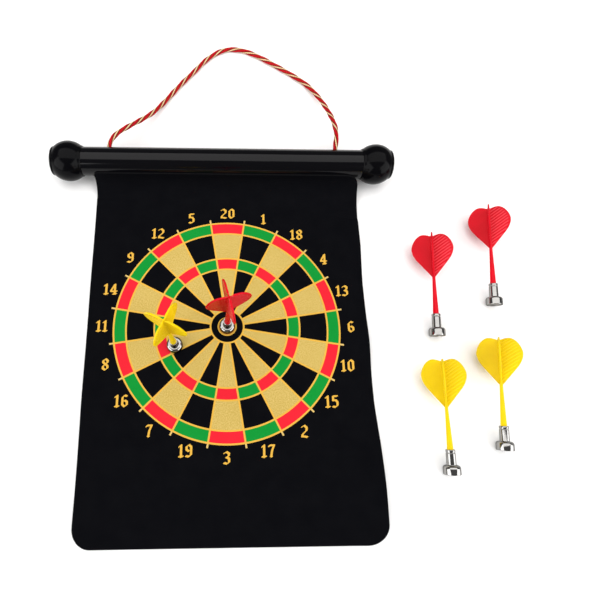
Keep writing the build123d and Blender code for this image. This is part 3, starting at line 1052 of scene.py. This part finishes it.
def head_part():
    """The metal cup with its sleeve."""
    corners = [
        (SOCKET_FLOOR, 0, 0),
        (SOCKET_FLOOR, SOCKET_R, 0),
        (SLEEVE_END, SOCKET_R, 0.15 * MM),
        (SLEEVE_END, SLEEVE_R, 0.5 * MM),
        (SLEEVE_END - 2.2 * MM, SLEEVE_R, 0.3 * MM),
        (SLEEVE_END - 2.6 * MM, SLEEVE_R - 0.3 * MM, 0.3 * MM),
        (SLEEVE_END - 3.2 * MM, SLEEVE_R - 0.3 * MM, 0.3 * MM),
        (SLEEVE_END - 3.6 * MM, SLEEVE_R, 0.3 * MM),
        (HEAD_LENGTH + 0.2 * MM, SLEEVE_R, 0.5 * MM),
        (HEAD_LENGTH, HEAD_R - 0.1 * MM, 2.9 * MM),
        (0, HEAD_R, 0.5 * MM),
        (0, MAGNET_R + 0.1 * MM, 0.2 * MM),
        (MAGNET_TOP, MAGNET_R + 0.1 * MM, 0),
        (MAGNET_TOP, 0, 0),
    ]
    return lathe(rounded(corners), HEAD_SEGMENTS)


def magnet_part():
    """The disc magnet in the cup."""
    low, high = MAGNET_RECESS, MAGNET_TOP - 0.05 * MM
    corners = [(low, 0, 0), (low, MAGNET_R, 0.35 * MM), (high, MAGNET_R, 0.2 * MM), (high, 0, 0)]
    return lathe(rounded(corners), HEAD_SEGMENTS)


def stem_part():
    """The stem, thick at the sleeve, and the spine that the vanes join."""
    corners = [
        (SOCKET_FLOOR + 0.1 * MM, 0, 0),
        (SOCKET_FLOOR + 0.1 * MM, SOCKET_R - 0.1 * MM, 0),
        (SLEEVE_END, SOCKET_R - 0.1 * MM, 0),
        (SLEEVE_END + 0.4 * MM, STEM_R_LOW, 0.2 * MM),
        (FLIGHT_START, STEM_R_HIGH, 20 * MM),
        (DART_LENGTH - 3 * MM, SPINE_R, 0),
        (DART_LENGTH - 0.4 * MM, 0.8 * MM, 0.6 * MM),
        (DART_LENGTH - 0.2 * MM, 0, 0),
    ]
    return lathe(rounded(corners), STEM_SEGMENTS)


def hermite(start, start_slope, end, end_slope, count):
    """Points of a curve between two points, with a slope at each."""
    t = np.linspace(0, 1, count)[:, None]
    return (
        (2 * t**3 - 3 * t**2 + 1) * np.array(start)
        + (t**3 - 2 * t**2 + t) * np.array(start_slope)
        + (-2 * t**3 + 3 * t**2) * np.array(end)
        + (t**3 - t**2) * np.array(end_slope)
    )


def vane_outline():
    """One lobe of the heart, as (out, along) from the stem round to the notch, in metres."""
    edge = np.linspace((0.3, 62.4), (15.5, 81.7), 30)
    side = hermite((15.5, 81.7), (9.1, 11.6), (21.3, 96.0), (0, 16.0), 30)
    shoulder = hermite((21.3, 96.0), (0, 17.0), (9.1, 111.9), (-20.3, 0), 50)
    lobe = hermite((9.1, 111.9), (-5.3, 0), (4.9, 111.1), (-3.6, -1.4), 10)
    return np.concatenate([edge, side[1:], shoulder[1:], lobe[1:]]) * MM


def vane_part():
    """One vane on +X with ribs on its -Y face: rows run from the spine out to the edge.

    Gives its (points, faces), and how far up a rib each point is."""
    outline = vane_outline()
    along = np.concatenate([[0], np.cumsum(np.linalg.norm(np.diff(outline, axis=0), axis=1))])
    marks = np.linspace(0, along[-1], VANE_ROWS)
    rim = np.stack([np.interp(marks, along, outline[:, k]) for k in range(2)], axis=1)
    spine_z = np.interp(marks, [0, along[-1]], [FLIGHT_START, DART_LENGTH - 2.5 * MM])
    spine = np.stack([np.zeros(VANE_ROWS), spine_z], axis=1)
    length = np.linalg.norm(rim - spine, axis=1)
    shares = np.linspace(0, 1, VANE_COLUMNS) ** 0.85
    shares[-5:] = [0.95, 0.962, 0.978, 0.992, 1.0]
    grid = spine[:, None] + (rim - spine)[:, None] * shares[:, None]
    inside = (1 - shares) * length[:, None]
    thick = VANE_HALF + RIM_EXTRA * (inside < RIB_MARGIN)
    half = thick * np.sqrt(1 - (1 - np.clip(inside / thick, 0, 1)) ** 2)
    turn = math.radians(RIB_DEG)
    across = grid[..., 1] * math.cos(turn) - grid[..., 0] * math.sin(turn)
    wave = 0.5 + 0.5 * np.cos(2 * math.pi * across / RIB_PITCH)
    crests = wave**0.7 * np.clip((inside - RIB_MARGIN) / (0.6 * MM), 0, 1)
    near = np.stack([grid[..., 0], -half - RIB_HEIGHT * (crests - 0.5), grid[..., 1]], axis=2).reshape(-1, 3)
    near[:, 1] = np.minimum(near[:, 1], -half.ravel() * 0.5)
    far = np.stack([grid[..., 0], half, grid[..., 1]], axis=2).reshape(-1, 3)
    count, faces = len(near), []
    for i in range(VANE_ROWS - 1):
        for j in range(VANE_COLUMNS - 1):
            a, b = i * VANE_COLUMNS + j, (i + 1) * VANE_COLUMNS + j
            faces.append([a, a + 1, b + 1, b])
            faces.append([count + a, count + b, count + b + 1, count + a + 1])
        rim_a, rim_b = (i + 1) * VANE_COLUMNS - 1, (i + 2) * VANE_COLUMNS - 1
        faces.append([rim_a, count + rim_a, count + rim_b, rim_b])
        root_a, root_b = i * VANE_COLUMNS, (i + 1) * VANE_COLUMNS
        faces.append([root_a, root_b, count + root_b, count + root_a])
    for i, flip in ((0, False), (VANE_ROWS - 1, True)):
        for j in range(VANE_COLUMNS - 1):
            a = i * VANE_COLUMNS + j
            face = [a, count + a, count + a + 1, a + 1]
            faces.append(face[::-1] if flip else face)
    # How far up a rib each point is, which sets how much painted highlight it gets.
    up_rib = np.concatenate([crests.ravel() ** 2, np.zeros(count)])
    return (np.concatenate([near, far]).tolist(), faces), up_rib


def dart_place(name):
    """The matrix that stands a dart, made on +Z from its magnet's end, where CAD holds the named one."""
    magnet = sum(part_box(f"{name}_magnet"), Vector()) / 2
    flight = frame["nodes"][f"{name}_flight"].data
    area = sum(face.area for face in flight.polygons)
    middle = sum((face.center * face.area for face in flight.polygons), Vector()) / area
    along = (middle - magnet).normalized()
    side = along.orthogonal().normalized()
    other = along.cross(side)
    arms = [vertex.co - magnet for vertex in flight.vertices]
    flat = np.array([(arm.dot(side), arm.dot(other)) for arm in arms])
    reach = np.hypot(*flat.T)
    tips = flat[reach > 0.97 * reach.max()]
    fourfold = 4 * np.arctan2(tips[:, 1], tips[:, 0])
    turn = math.atan2(np.sin(fourfold).mean(), np.cos(fourfold).mean()) / 4
    x_axis = side * math.cos(turn) + other * math.sin(turn)
    turned = Matrix((x_axis, along.cross(x_axis), along)).transposed().to_4x4()
    return Matrix.Translation(magnet - along * (MAGNET_RECESS + MAGNET_HALF)) @ turned


def make_darts():
    vane, up_rib = vane_part()
    vanes = [placed(vane, Matrix.Rotation(math.pi / 2 * k, 4, "Z")) for k in range(4)]
    flight_shape = joined(stem_part(), *vanes)
    rib_heights = np.zeros((len(flight_shape[0]), 2))
    rib_heights[-4 * len(up_rib) :, 0] = np.tile(up_rib, 4)
    shapes = {
        "head": (head_part(), nickel, "dart_metal"),
        "magnet": (magnet_part(), magnet_metal, "dart_magnet"),
        "red": (flight_shape, red_plastic, "red_plastic"),
        "yellow": (flight_shape, yellow_plastic, "yellow_plastic"),
    }
    names = sorted(name[: -len("_flight")] for name in frame["nodes"] if name.endswith("_flight"))
    for name in names:
        place = dart_place(name)
        colour = name.split("_")[0]
        for piece, shape in (("head", "head"), ("magnet", "magnet"), ("flight", colour)):
            part, material, slot = shapes[shape]
            label = f"{name}_{piece}_shape"
            made = new_object(label, *placed(part, place), [material])
            if piece == "flight":
                paint_map(made, RIB_MAP, rib_heights)
            finish_piece(made, name, slot, f"{name}_{piece}")


make_darts()


# ---- Floor, lights and view transform ----

FLOOR_HALF = 2.5
WORLD_STRENGTH = 0.16
# Each light: its place, what it faces, its size across and up, its radiance and its colour.
LIGHTS = {
    "overhead": ((0.1, 0.65, 1.5), (0.1, 0.65, 0), (3.4, 1.78), 2.25, (1.0, 0.985, 0.97)),
    "left": ((-1.7, -1.1, 0.95), (0, 0, 0.05), (2.3, 1.8), 3.4, (1, 1, 1)),
    "right": ((1.9, -1.1, 0.95), (0.1, 0, 0.05), (2.3, 1.8), 3.4, (1, 1, 1)),
}


def make_floor():
    half = FLOOR_HALF
    corners = [(-half, -half, 0), (half, -half, 0), (half, half, 0), (-half, half, 0)]
    floor = new_object("floor", corners, [[0, 1, 2, 3]], [floor_paper])
    floor.location.z = -FLOOR_DROP


make_floor()
make_world(WORLD_STRENGTH)
for light_name, settings in LIGHTS.items():
    make_light(light_name, *settings)
bpy.context.scene.view_settings.view_transform = "Standard"
